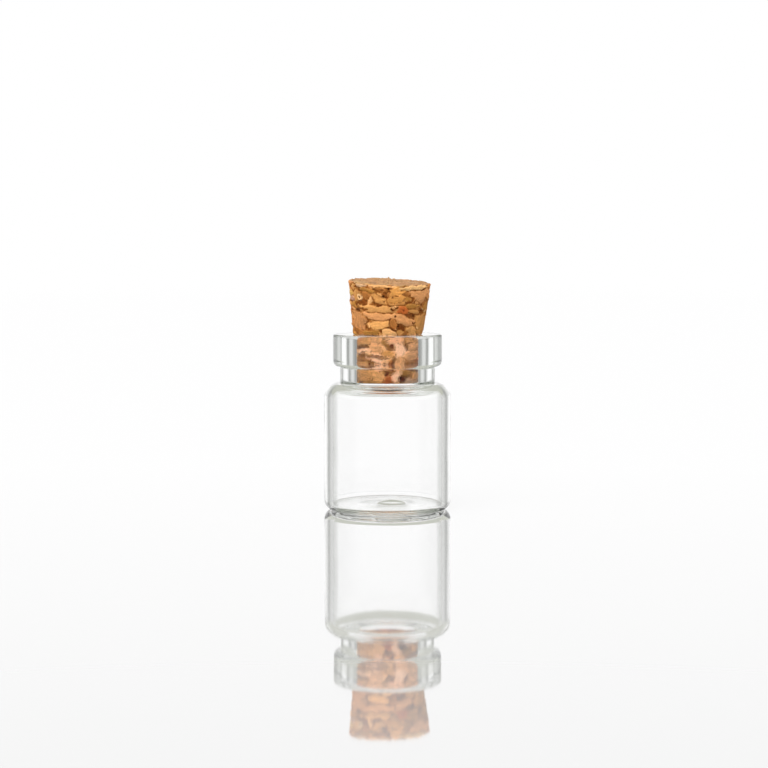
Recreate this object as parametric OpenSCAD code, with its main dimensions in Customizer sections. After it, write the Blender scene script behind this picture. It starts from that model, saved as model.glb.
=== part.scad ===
// A miniature glass bottle with a cork stopper. Millimetres, +Z up.
// The bottle's axis is the Z axis and its foot stands on z = 0.

/* [Body] */
// Outside diameter of the body
body_d = 13; // [12.2:0.1:16]
// Height from the foot to the root of the neck
body_h = 13.2; // [9:0.1:20]
// Thickness of the side wall
wall_t = 0.8; // [0.6:0.05:1.1]
// Thickness of the floor next to the wall
floor_t = 0.9; // [0.6:0.05:1.4]
// Rounding between the side and the foot
heel_r = 0.85; // [0.4:0.05:1.1]
// Rounding between the floor and the wall, inside
inner_heel_r = 0.5; // [0.3:0.05:1]

/* [Floor] */
// Diameter of the shallow hollow under the floor
hollow_d = 8.4; // [6:0.1:9.4]
// Depth of the hollow under the floor
hollow_depth = 0.35; // [0.1:0.05:0.4]
// Diameter of the small button in the middle of the floor
button_d = 3; // [2:0.1:5]
// Height of the button above the floor
button_h = 0.25; // [0.1:0.05:0.5]

/* [Shoulder] */
// Rounding of the outer corner of the shoulder
shoulder_r = 1.3; // [1:0.05:1.6]
// Rounding of the inner corner under the shoulder
ceiling_r = 0.75; // [0.4:0.05:1]
// Fall of the shoulder from the neck to its corner, in degrees
shoulder_fall = 16; // [5:1:30]
// Thickness of the glass in the shoulder
shoulder_t = 0.7; // [0.5:0.05:0.9]

/* [Neck] */
// Outside diameter of the neck
neck_d = 9.7; // [8.8:0.1:10.2]
// Height of the neck between the shoulder and the rim
neck_h = 1.5; // [1:0.1:4]
// Diameter of the bore through the neck
bore_d = 6.4; // [5.6:0.1:7]
// Rounding between the neck and the shoulder
neck_root_r = 0.35; // [0.2:0.05:0.5]
// Rounding where the bore opens into the body
throat_r = 0.45; // [0.2:0.05:0.6]

/* [Rim] */
// Outside diameter of the rim
rim_d = 11.15; // [10.8:0.05:12]
// Height of the rim, with the rounding under it
rim_h = 3.3; // [2:0.1:5]
// Rounding under the rim
rim_under_r = 0.6; // [0.2:0.05:0.9]
// Rounding of the rim's upper outer edge
rim_edge_r = 0.2; // [0.1:0.05:0.4]
// Rounding of the mouth
mouth_r = 0.45; // [0.3:0.05:0.6]

/* [Cork] */
// Clearance between the cork and the glass
fit_gap = 0.05; // [0.04:0.01:0.1]
// Length of cork that the neck holds
plug_l = 4.7; // [3:0.1:4.9]
// Rounding of the cork's lower end
plug_end_r = 0.25; // [0.1:0.05:0.6]
// Height of the cork above the mouth
head_h = 5.4; // [3:0.1:9]
// Reach of the head's foot past the flared end of the plug
head_lap = 0.05; // [0.04:0.01:0.8]
// Widening of the head on each side, in degrees
head_flare = 7; // [0:0.1:12]
// Rounding of the cork's upper edge
head_edge_r = 0.2; // [0.1:0.05:0.5]
// Lean of the cork's head from upright, in degrees
head_lean = 3.9; // [0:0.1:5]
// Direction of the lean, in degrees from +X
lean_way = -52; // [-180:1:180]

/* [Hidden] */
$fn = 96;
// Points along each rounded stretch of an outline
arc_steps = 8;
// Angle round the mouth's rounding at which the cork's flare passes into the head
flare_end = 105;

body_r = body_d / 2;
inner_r = body_r - wall_t;
neck_r = neck_d / 2;
bore_r = bore_d / 2;
rim_r = rim_d / 2;
hollow_r = hollow_d / 2;
button_r = button_d / 2;
rim_foot_z = body_h + neck_h;
mouth_z = rim_foot_z + rim_h;
rim_round_r = min(rim_under_r, rim_r - neck_r);
plug_r = bore_r - fit_gap;
plug_z = mouth_z - plug_l;
seat_z = mouth_z + fit_gap;
// Radius of the plug's flared end, over the mouth's rounding
flare_r = bore_r + mouth_r + (mouth_r + fit_gap) * cos(flare_end);
head_foot_r = flare_r + head_lap;
head_top_r = head_foot_r + head_h * tan(head_flare);
// Depth of the head below the mouth that its lean needs, before it is cut level
head_sink = head_foot_r * sin(head_lean);
// Top of the plug's core, inside the head
core_z = seat_z + mouth_r;

// The shoulder's surface falls away from the point where it meets the neck's wall.
shoulder_up = [sin(shoulder_fall), cos(shoulder_fall)];
shoulder_root = [neck_r, body_h];
ceiling_root = shoulder_root - shoulder_t * shoulder_up;

// Height at radius x of a line parallel to the shoulder, a step away from a point on it.
function slope_z(x, from, away) =
    from[1] + (away - shoulder_up[0] * (x - from[0])) / shoulder_up[1];

// Points on a round stretch about centre c, from angle a to angle b.
function arc(c, r, a, b) =
    [for (i = [0 : arc_steps])
        let (t = a + (b - a) * i / arc_steps) c + r * [cos(t), sin(t)]];

// Points on a shallow dome from its rim on the radius r at height z to its top on the axis.
function dome(r, rise, z) =
    let (ball = (r * r + rise * rise) / (2 * rise), span = asin(r / ball))
    [for (i = [0 : arc_steps])
        let (t = span * (1 - i / arc_steps)) [ball * sin(t), z + rise - ball * (1 - cos(t))]];

function reversed(points) = [for (i = [len(points) - 1 : -1 : 0]) points[i]];

// Centres of the round stretches of the bottle's outline
shoulder_c = [body_r - shoulder_r, slope_z(body_r - shoulder_r, shoulder_root, -shoulder_r)];
neck_root_c = [neck_r + neck_root_r, slope_z(neck_r + neck_root_r, shoulder_root, neck_root_r)];
throat_c = [bore_r + throat_r, slope_z(bore_r + throat_r, ceiling_root, throat_r)];
ceiling_c = [inner_r - ceiling_r, slope_z(inner_r - ceiling_r, ceiling_root, -ceiling_r)];
mouth_c = [bore_r + mouth_r, mouth_z - mouth_r];

// Half of the bottle's section, outside from the foot to the mouth and back down inside.
bottle_outline = concat(
    reversed(dome(hollow_r, hollow_depth, 0)),
    arc([body_r - heel_r, heel_r], heel_r, -90, 0),
    arc(shoulder_c, shoulder_r, 0, 90 - shoulder_fall),
    arc(neck_root_c, neck_root_r, 270 - shoulder_fall, 180),
    [[neck_r, rim_foot_z]],
    arc([rim_r - rim_round_r, rim_foot_z + rim_round_r], rim_round_r, -90, 0),
    arc([rim_r - rim_edge_r, mouth_z - rim_edge_r], rim_edge_r, 0, 90),
    arc(mouth_c, mouth_r, 90, 180),
    arc(throat_c, throat_r, 180, 270 - shoulder_fall),
    arc(ceiling_c, ceiling_r, 90 - shoulder_fall, 0),
    arc([inner_r - inner_heel_r, floor_t + inner_heel_r], inner_heel_r, 0, -90),
    dome(button_r, button_h, floor_t)
);

// The part of the cork that the neck squeezes straight, flared over the mouth's rounding.
plug_outline = concat(
    [[0, plug_z]],
    arc([plug_r - plug_end_r, plug_z + plug_end_r], plug_end_r, -90, 0),
    arc(mouth_c, mouth_r + fit_gap, 180, flare_end),
    [[flare_r, core_z], [0, core_z]]
);

// The free part of the cork, a cone that widens upwards from the mouth.
head_edge_c = [head_top_r - head_edge_r * (1 + sin(head_flare)) / cos(head_flare), head_h - head_edge_r];
head_outline = concat(
    [[0, -head_sink], [head_foot_r - head_sink * tan(head_flare), -head_sink]],
    arc(head_edge_c, head_edge_r, -head_flare, 90),
    [[0, head_h]]
);

module glass_bottle() {
    color([0.86, 0.93, 0.9, 0.45])
        rotate_extrude() polygon(bottle_outline);
}

// Leans what it holds towards lean_way, without turning it about its own axis.
module leaning() {
    rotate(lean_way) rotate([0, head_lean, 0]) rotate(-lean_way) children();
}

// The head leans about the middle of the mouth and is cut level just above the rim.
module cork_head() {
    difference() {
        translate([0, 0, mouth_z]) leaning() rotate_extrude() polygon(head_outline);
        translate([0, 0, seat_z - head_h]) cylinder(r = 2 * head_top_r, h = head_h);
    }
}

module cork_stopper() {
    color([0.76, 0.55, 0.34])
        union() {
            rotate_extrude() polygon(plug_outline);
            cork_head();
        }
}

glass_bottle();
cork_stopper();
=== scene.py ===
"""A miniature corked glass bottle on a polished pale floor.

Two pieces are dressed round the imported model. The bottle is turned from its own half section, and the
cork is a turned blank that pressed granules, gaps and pits are worked into. Lengths are in millimetres
here, and become metres where a mesh is made.
"""
import logging
import math
from collections.abc import Mapping
from dataclasses import dataclass, field
from enum import Enum
from typing import Any, ClassVar

import bpy
import numpy as np
from mathutils import Matrix, Vector
from mathutils.kdtree import KDTree


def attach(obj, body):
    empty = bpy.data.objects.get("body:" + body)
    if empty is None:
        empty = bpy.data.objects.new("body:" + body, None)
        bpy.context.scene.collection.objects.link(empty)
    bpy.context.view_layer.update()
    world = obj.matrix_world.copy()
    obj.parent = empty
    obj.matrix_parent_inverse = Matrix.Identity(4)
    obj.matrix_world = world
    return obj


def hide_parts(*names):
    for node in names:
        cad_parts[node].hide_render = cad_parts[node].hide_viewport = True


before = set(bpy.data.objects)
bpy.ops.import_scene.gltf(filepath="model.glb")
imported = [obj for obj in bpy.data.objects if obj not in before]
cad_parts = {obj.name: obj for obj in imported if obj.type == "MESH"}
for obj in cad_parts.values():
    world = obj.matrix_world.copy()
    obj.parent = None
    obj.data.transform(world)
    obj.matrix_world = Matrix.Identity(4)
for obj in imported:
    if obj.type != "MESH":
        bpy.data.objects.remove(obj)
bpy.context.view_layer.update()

MM = 0.001
WHITE = (1.0, 1.0, 1.0, 1.0)
log = logging.getLogger("corked_bottle")


def linear(red: float, green: float, blue: float) -> tuple[float, float, float, float]:
    """Turns a screen colour into the light that a shader works with.

    Args:
        red: Red from 0 to 255.
        green: Green from 0 to 255.
        blue: Blue from 0 to 255.

    Returns:
        The linear colour, with an alpha of 1.
    """
    parts = [value / 255 for value in (red, green, blue)]
    return (*(p / 12.92 if p <= 0.04045 else ((p + 0.055) / 1.055) ** 2.4 for p in parts), 1.0)


def even(shade: float) -> tuple[float, float, float, float]:
    """Makes one shade a grey colour."""
    return shade, shade, shade, 1.0


def sine(angle: float) -> float:
    """The sine of an angle in degrees."""
    return math.sin(math.radians(angle))


class Term:
    """A node's output that stands in an arithmetic expression."""

    def __init__(self, graph: "Graph", socket: bpy.types.NodeSocket) -> None:
        """Wraps a socket of the graph."""
        self.graph = graph
        self.socket = socket

    def maths(self, operation: str, *others: Any, clamp: bool = False) -> "Term":
        """Adds a Math node.

        Args:
            operation: The Math node's operation.
            others: The other operands, as terms or numbers, with None for this term's own place.
            clamp: True to keep the result from 0 to 1.

        Returns:
            The result.
        """
        operands = [self, *others] if None not in others else [self if o is None else o for o in others]
        settings = {"operation": operation, "use_clamp": clamp}
        return self.graph.out(self.graph.add("ShaderNodeMath", settings, dict(enumerate(operands))))

    def __add__(self, other: Any) -> "Term":
        """Adds."""
        return self.maths("ADD", other)

    __radd__ = __add__

    def __mul__(self, other: Any) -> "Term":
        """Multiplies."""
        return self.maths("MULTIPLY", other)

    __rmul__ = __mul__

    def __sub__(self, other: Any) -> "Term":
        """Subtracts."""
        return self.maths("SUBTRACT", other)

    def __rsub__(self, other: Any) -> "Term":
        """Subtracts this from a number."""
        return self.maths("SUBTRACT", other, None)

    def __truediv__(self, other: Any) -> "Term":
        """Divides."""
        return self.maths("DIVIDE", other)

    def __pow__(self, other: Any) -> "Term":
        """Raises to a power."""
        return self.maths("POWER", other)

    def __neg__(self) -> "Term":
        """Changes the sign."""
        return self.maths("MULTIPLY", -1.0)

    def ramp(self, start: float, end: float, low: float = 0.0, high: float = 1.0) -> "Term":
        """Maps a range of values smoothly to another, and holds its ends.

        Args:
            start: The value that becomes low.
            end: The value that becomes high.
            low: The first result.
            high: The last result.

        Returns:
            The mapped value.
        """
        sockets = {"Value": self, "From Min": start, "From Max": end, "To Min": low, "To Max": high}
        node = self.graph.add("ShaderNodeMapRange", {"interpolation_type": "SMOOTHSTEP"}, sockets)
        return self.graph.out(node)


class Graph:
    """Adds nodes to one node tree."""

    def __init__(self, tree: bpy.types.NodeTree) -> None:
        """Starts on an emptied tree."""
        self.tree = tree
        tree.nodes.clear()

    @staticmethod
    def find(sockets: Any, key: str | int) -> bpy.types.NodeSocket:
        """Finds a socket by its place, its identifier or else its name."""
        if isinstance(key, int):
            return sockets[key]
        return next((s for s in sockets if s.identifier == key), None) or sockets[key]

    def add(self, kind: str, settings: Mapping[str, Any] | None = None,
            sockets: Mapping[str | int, Any] | None = None) -> bpy.types.Node:
        """Adds one node.

        Args:
            kind: The node's type.
            settings: Its properties, set before its sockets. stops fills a colour ramp.
            sockets: Values, terms or sockets for its inputs.

        Returns:
            The node.
        """
        node = self.tree.nodes.new(kind)
        for name, value in (settings or {}).items():
            if name == "stops":
                self.fill_ramp(node.color_ramp, value)
            else:
                setattr(node, name, value)
        for key, value in (sockets or {}).items():
            socket = self.find(node.inputs, key)
            source = value.socket if isinstance(value, Term) else value
            if isinstance(source, bpy.types.NodeSocket):
                self.tree.links.new(source, socket)
            else:
                socket.default_value = source
        return node

    @staticmethod
    def fill_ramp(ramp: bpy.types.ColorRamp, stops: list[tuple[float, Any]]) -> None:
        """Gives a colour ramp its stops, as places with a grey or a colour."""
        while len(ramp.elements) < len(stops):
            ramp.elements.new(1.0)
        for element, (place, shade) in zip(ramp.elements, stops):
            element.position = place
            element.color = shade if isinstance(shade, tuple) else even(shade)

    def out(self, node: bpy.types.Node, key: str | int = 0) -> Term:
        """Gives one of a node's outputs as a term."""
        return Term(self, self.find(node.outputs, key))

    def mix(self, share: Any, first: Any, second: Any, blend: str = "MIX") -> Term:
        """Mixes two colours.

        Args:
            share: The second colour's share.
            first: The first colour.
            second: The second colour.
            blend: How the second is laid over the first.

        Returns:
            The mixed colour.
        """
        settings = {"data_type": "RGBA", "blend_type": blend, "clamp_result": False}
        sockets = {"Factor_Float": share, "A_Color": first, "B_Color": second}
        return self.out(self.add("ShaderNodeMix", settings, sockets), "Result_Color")

    def vector(self, operation: str, *operands: Any, result: str = "Vector") -> Term:
        """Adds a Vector Math node, with its operands in order."""
        return self.out(self.add("ShaderNodeVectorMath", {"operation": operation}, dict(enumerate(operands))),
                        result)

    def grey(self, value: Term) -> Term:
        """Makes a value a grey colour."""
        return self.out(self.add("ShaderNodeCombineColor", None, {0: value, 1: value, 2: value}))

    def noise(self, place: Any, scale: float, detail: float = 2.0, roughness: float = 0.5) -> Term:
        """Adds a Noise Texture.

        Args:
            place: Where it is read.
            scale: How many features it has to the metre.
            detail: Its octaves.
            roughness: The strength of the finer octaves.

        Returns:
            The noise, about 0.5 on average.
        """
        sockets = {"Vector": place, "Scale": scale, "Detail": detail, "Roughness": roughness}
        return self.out(self.add("ShaderNodeTexNoise", {"noise_dimensions": "3D"}, sockets), 0)


def new_material(name: str) -> tuple[bpy.types.Material, Graph]:
    """Starts a material, with the graph that its nodes are added to."""
    material = bpy.data.materials.new(name)
    material.use_nodes = True
    return material, Graph(material.node_tree)


def new_tree(name: str, given: str, inputs: Mapping[str, str], result: str) -> bpy.types.NodeTree:
    """Starts a Geometry Nodes tree.

    Args:
        name: The tree's name.
        given: The name of the geometry that goes in.
        inputs: The other inputs' names, each with its kind of socket.
        result: The name of the geometry that comes out.

    Returns:
        The tree, which has no nodes yet.
    """
    tree = bpy.data.node_groups.new(name, "GeometryNodeTree")
    tree.interface.new_socket(given, in_out="INPUT", socket_type="NodeSocketGeometry")
    for socket, kind in inputs.items():
        tree.interface.new_socket(socket, in_out="INPUT", socket_type=kind)
    tree.interface.new_socket(result, in_out="OUTPUT", socket_type="NodeSocketGeometry")
    return tree


def grow(piece: bpy.types.Object, tree: bpy.types.NodeTree, values: Mapping[str, Any]) -> None:
    """Runs a tree on a piece once, and leaves the result as the piece's plain mesh.

    Args:
        piece: The piece, whose own mesh goes into the tree.
        tree: The tree.
        values: The values of its named inputs.
    """
    bpy.context.scene.collection.objects.link(piece)
    modifier = piece.modifiers.new(tree.name, "NODES")
    modifier.node_group = tree
    for item in tree.interface.items_tree:
        if item.in_out == "INPUT" and item.name in values:
            modifier[item.identifier] = values[item.name]
    graph = bpy.context.evaluated_depsgraph_get()
    mesh = bpy.data.meshes.new_from_object(piece.evaluated_get(graph), depsgraph=graph)
    piece.modifiers.remove(modifier)
    source, piece.data = piece.data, mesh
    bpy.data.meshes.remove(source)
    mesh.name = piece.name


class Outline:
    """Half of a turned piece's section, as radii and heights from the axis out and back to it."""

    def __init__(self, step: float) -> None:
        """Starts empty, with the usual distance between points."""
        self.step = step
        self.points: list[tuple[float, float]] = []

    def to(self, radius: float, height: float, step: float | None = None) -> "Outline":
        """Runs straight to a point, which it divides into steps."""
        if self.points:
            r, z = self.points[-1]
            count = math.ceil(math.hypot(radius - r, height - z) / (step or self.step))
            for i in range(1, count):
                self.points.append((r + (radius - r) * i / count, z + (height - z) * i / count))
            if count == 0:
                return self
        self.points.append((radius, height))
        return self

    def arc(self, centre: tuple[float, float], radius: float, start: float, end: float,
            step: float | None = None, run_step: float | None = None) -> "Outline":
        """Runs straight to a round stretch and along it.

        Args:
            centre: The arc's centre.
            radius: Its radius.
            start: Its first angle, in degrees from outwards.
            end: Its last angle.
            step: The distance between its points.
            run_step: The distance between points on the run to it.

        Returns:
            The outline.
        """
        a, b = math.radians(start), math.radians(end)
        count = max(2, math.ceil(abs(b - a) * radius / (step or self.step)))
        turns = [a + (b - a) * i / count for i in range(count + 1)]
        points = [(centre[0] + radius * math.cos(t), centre[1] + radius * math.sin(t)) for t in turns]
        self.to(*points[0], run_step)
        self.points.extend(points[1:])
        return self

    def mesh(self, name: str) -> bpy.types.Mesh:
        """Makes the points a line mesh in metres, with radii along X and heights along Z."""
        mesh = bpy.data.meshes.new(name)
        mesh.from_pydata([(r * MM, 0.0, z * MM) for r, z in self.points],
                         [(i, i + 1) for i in range(len(self.points) - 1)], [])
        return mesh


@dataclass(frozen=True)
class Waver:
    """How a hand-blown wall strays from true: how far, how wide its waves are, and where it holds still."""

    amount: float = 0.0
    size: float = 4.0
    above: float = 0.0
    still_r: float = 0.0


class Lathe:
    """Turns an outline about the Z axis with a Geometry Nodes tree, and makes hand-blown walls waver."""

    INPUTS = {"Segments": "NodeSocketInt", "Waver": "NodeSocketFloat", "Waver Size": "NodeSocketFloat",
              "Waver Above": "NodeSocketFloat", "Still Radius": "NodeSocketFloat",
              "Finish": "NodeSocketMaterial"}

    def __init__(self) -> None:
        """Builds the tree."""
        self.tree = new_tree("lathe", "Outline", self.INPUTS, "Turned")
        self.build(Graph(self.tree))

    def build(self, graph: Graph) -> None:
        """Fills the tree: a grid is rolled up, closed, made to waver and finished."""
        given = graph.add("NodeGroupInput")
        outline, segments = graph.out(given, "Outline"), graph.out(given, "Segments")
        rows = graph.out(graph.add("GeometryNodeAttributeDomainSize", {"component": "MESH"},
                                   {"Geometry": outline}), "Point Count")
        grid = graph.add("GeometryNodeMeshGrid", None,
                         {"Size X": 1.0, "Size Y": 1.0, "Vertices X": segments + 1, "Vertices Y": rows})
        place = graph.add("GeometryNodeInputPosition")
        split = graph.add("ShaderNodeSeparateXYZ", None, {0: graph.out(place)})
        across, along = graph.out(split, "X"), graph.out(split, "Y")
        row = ((along + 0.5) * (rows - 1)).maths("ROUND")
        sample = graph.add("GeometryNodeSampleIndex", {"data_type": "FLOAT_VECTOR", "domain": "POINT"},
                           {"Geometry": outline, "Value": graph.out(place), "Index": row})
        half = graph.add("ShaderNodeSeparateXYZ", None, {0: graph.out(sample)})
        angle = (across + 0.5) * math.tau
        rolled = graph.add("ShaderNodeCombineXYZ", None, {
            "X": graph.out(half, "X") * angle.maths("SINE"),
            "Y": graph.out(half, "X") * angle.maths("COSINE") * -1.0,
            "Z": graph.out(half, "Z")})
        skin = graph.add("GeometryNodeSetPosition", None,
                         {"Geometry": graph.out(grid), "Position": graph.out(rolled)})
        closed = graph.add("GeometryNodeMergeByDistance", None,
                           {"Geometry": graph.out(skin), "Distance": 1e-7})
        waved = graph.add("GeometryNodeSetPosition", None,
                          {"Geometry": graph.out(closed), "Offset": self.waver(graph, given, place)})
        smooth = graph.add("GeometryNodeSetShadeSmooth", None, {"Geometry": graph.out(waved)})
        real = graph.add("GeometryNodeRealizeInstances", None, {"Geometry": graph.out(smooth)})
        done = graph.add("GeometryNodeSetMaterial", None,
                         {"Geometry": graph.out(real), "Material": graph.out(given, "Finish")})
        graph.add("NodeGroupOutput", None, {"Turned": graph.out(done)})

    @staticmethod
    def waver(graph: Graph, given: bpy.types.Node, place: bpy.types.Node) -> Term:
        """Works out how far each point of the skin strays from true.

        Args:
            graph: The tree.
            given: Its inputs.
            place: The Position node.

        Returns:
            The offset, which is nothing on the foot and inside the still radius.
        """
        spot = graph.out(place)
        size = graph.out(given, "Waver Size")
        noise = graph.out(graph.add("ShaderNodeTexNoise", {"noise_dimensions": "3D"},
                                    {"Vector": spot, "Scale": size ** -1.0, "Detail": 1.0}), 0)
        parts = graph.add("ShaderNodeSeparateXYZ", None, {0: spot})
        reach = (graph.out(parts, "X") ** 2.0 + graph.out(parts, "Y") ** 2.0) ** 0.5
        above = (graph.out(parts, "Z") / graph.out(given, "Waver Above")).maths("MINIMUM", 1.0)
        free = reach.maths("GREATER_THAN", graph.out(given, "Still Radius"))
        amount = (noise - 0.5) * 2.0 * graph.out(given, "Waver") * above * free
        normal = graph.out(graph.add("GeometryNodeInputNormal"))
        shift = graph.add("ShaderNodeVectorMath", {"operation": "SCALE"}, {0: normal, "Scale": amount})
        return graph.out(shift, "Vector")

    def turn(self, name: str, outline: Outline, finish: bpy.types.Material, segments: int,
             waver: Waver = Waver()) -> bpy.types.Object:
        """Turns one outline into a plain closed mesh.

        Args:
            name: The piece's name.
            outline: Its half section.
            finish: Its material.
            segments: The number of its faces round the axis.
            waver: How its wall strays from true.

        Returns:
            The piece, at the origin, with outward faces.
        """
        piece = bpy.data.objects.new(name, outline.mesh(name))
        grow(piece, self.tree, {
            "Segments": segments, "Waver": waver.amount * MM, "Waver Size": waver.size * MM,
            "Waver Above": waver.above * MM, "Still Radius": waver.still_r * MM, "Finish": finish})
        if volume(piece.data) < 0:
            piece.data.flip_normals()
        return piece


def coordinates(mesh: bpy.types.Mesh) -> np.ndarray:
    """Reads a mesh's points, in millimetres."""
    flat = np.empty(len(mesh.vertices) * 3, dtype=np.float32)
    mesh.vertices.foreach_get("co", flat)
    return flat.reshape(-1, 3).astype(np.float64) / MM


def set_coordinates(mesh: bpy.types.Mesh, points: np.ndarray) -> None:
    """Writes a mesh's points, from millimetres."""
    mesh.vertices.foreach_set("co", (points * MM).astype(np.float32).ravel())
    mesh.update()


def normals(mesh: bpy.types.Mesh) -> np.ndarray:
    """Reads the directions that a mesh's points face."""
    flat = np.empty(len(mesh.vertices) * 3, dtype=np.float32)
    mesh.vertices.foreach_get("normal", flat)
    return flat.reshape(-1, 3).astype(np.float64)


def volume(mesh: bpy.types.Mesh) -> float:
    """Works out the volume that a closed mesh holds, which is negative when its faces point inwards."""
    mesh.calc_loop_triangles()
    corners = np.empty(len(mesh.loop_triangles) * 3, dtype=np.int32)
    mesh.loop_triangles.foreach_get("vertices", corners)
    a, b, c = coordinates(mesh)[corners.reshape(-1, 3)].transpose(1, 0, 2)
    return float(np.einsum("ij,ij->i", a, np.cross(b, c)).sum() / 6)


def smoothstep(start: float, end: float, values: np.ndarray) -> np.ndarray:
    """Rises smoothly from 0 at start to 1 at end."""
    t = np.clip((values - start) / (end - start), 0.0, 1.0)
    return t * t * (3 - 2 * t)


def blend(first: np.ndarray, second: np.ndarray, share: np.ndarray) -> np.ndarray:
    """Mixes two arrays by a share for each row."""
    return first + (second - first) * (share[:, None] if first.ndim > 1 else share)


def lattice_noise(points: np.ndarray, size: float, seed: int) -> np.ndarray:
    """Makes smooth noise in space.

    Args:
        points: Where it is read, one row a point.
        size: The width of its features.
        seed: Its seed.

    Returns:
        Values from -1 to 1.
    """
    cells = np.floor(points / size).astype(np.int64)
    inside = points / size - cells
    ease = inside * inside * (3 - 2 * inside)
    total = np.zeros(len(points))
    for corner in range(8):
        step = np.array([corner & 1, corner >> 1 & 1, corner >> 2 & 1])
        key = (cells + step) @ np.array([73856093, 19349663, 83492791]) + seed * 2654435761
        key = (key ^ (key >> 13)) * 1274126177 & 0xFFFFFFFF
        key = (key ^ (key >> 16)) * 2246822519 & 0xFFFFFFFF
        share = np.where(step, ease, 1 - ease).prod(axis=1)
        total += share * ((key & 0xFFFF) / 32767.5 - 1)
    return total


@dataclass(frozen=True)
class Viewpoint:
    """Where the photograph was taken from, and how its pixels meet the object."""

    width: int = 768
    sensor: float = 36.0
    lens: float = 89.4
    distance: float = 195.0
    height: float = 28.0
    horizon_y: float = 236.0
    axis_x: float = 387.5

    @property
    def focal(self) -> float:
        """The focal length, in pixels."""
        return self.lens / self.sensor * self.width

    @property
    def pitch(self) -> float:
        """How far the camera looks down, in radians."""
        return math.atan((self.width / 2 - self.horizon_y) / self.focal)

    def height_at(self, y: float, reach: float) -> float:
        """Gives the height that a row of pixels shows, on a surface nearer than the axis by reach."""
        up = math.atan((self.width / 2 - y) / self.focal) - self.pitch
        return self.height + (self.distance - reach) * math.tan(up)

    def across_at(self, x: float, reach: float) -> float:
        """Gives the distance right of the axis that a column shows, on a surface nearer by reach."""
        return (x - self.axis_x) * (self.distance - reach) / self.focal

    def place(self) -> None:
        """Puts the scene's camera there."""
        data = bpy.data.cameras.new("viewpoint")
        data.sensor_width = self.sensor
        data.lens = self.lens
        data.clip_start, data.clip_end = 0.005, 10.0
        camera = bpy.data.objects.new("viewpoint", data)
        aside = math.atan((self.axis_x - self.width / 2) / self.focal)
        camera.location = (0.0, -self.distance * MM, self.height * MM)
        camera.rotation_euler = (math.pi / 2 - self.pitch, 0.0, aside)
        bpy.context.scene.collection.objects.link(camera)
        bpy.context.scene.camera = camera


class Tone(Enum):
    """The colours of cork granules, as they look on a screen."""

    CREAM = (240, 194, 138)
    PALE = (232, 176, 120)
    SAND = (222, 162, 100)
    AMBER = (216, 152, 84)
    PEACH = (222, 158, 106)
    RUSSET = (200, 108, 54)
    TAN = (204, 146, 86)
    BROWN = (174, 112, 58)
    OLIVE = (180, 126, 62)
    MAUVE = (196, 158, 126)
    DARK = (124, 66, 22)
    # The gaps' colour: partly the binder's own, partly painted shade between granules
    UMBER = (84, 42, 16)
    CLAY = (206, 144, 94)
    GAP_AND_SHADE = (166, 106, 50)
    BUFF = (214, 156, 104)
    MILK = (238, 188, 148)
    BLUSH = (230, 170, 126)
    RUST = (104, 40, 8)

    @property
    def light(self) -> np.ndarray:
        """The tone as a linear colour."""
        return np.array(linear(*self.value)[:3])


@dataclass(frozen=True)
class SeenGranule:
    """A granule on the front of the cork, placed by the photograph's pixels that it spans."""

    left: float
    right: float
    top: float
    bottom: float
    tone: Tone
    turn: float = 0.0
    lift: float = 0.0
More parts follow.
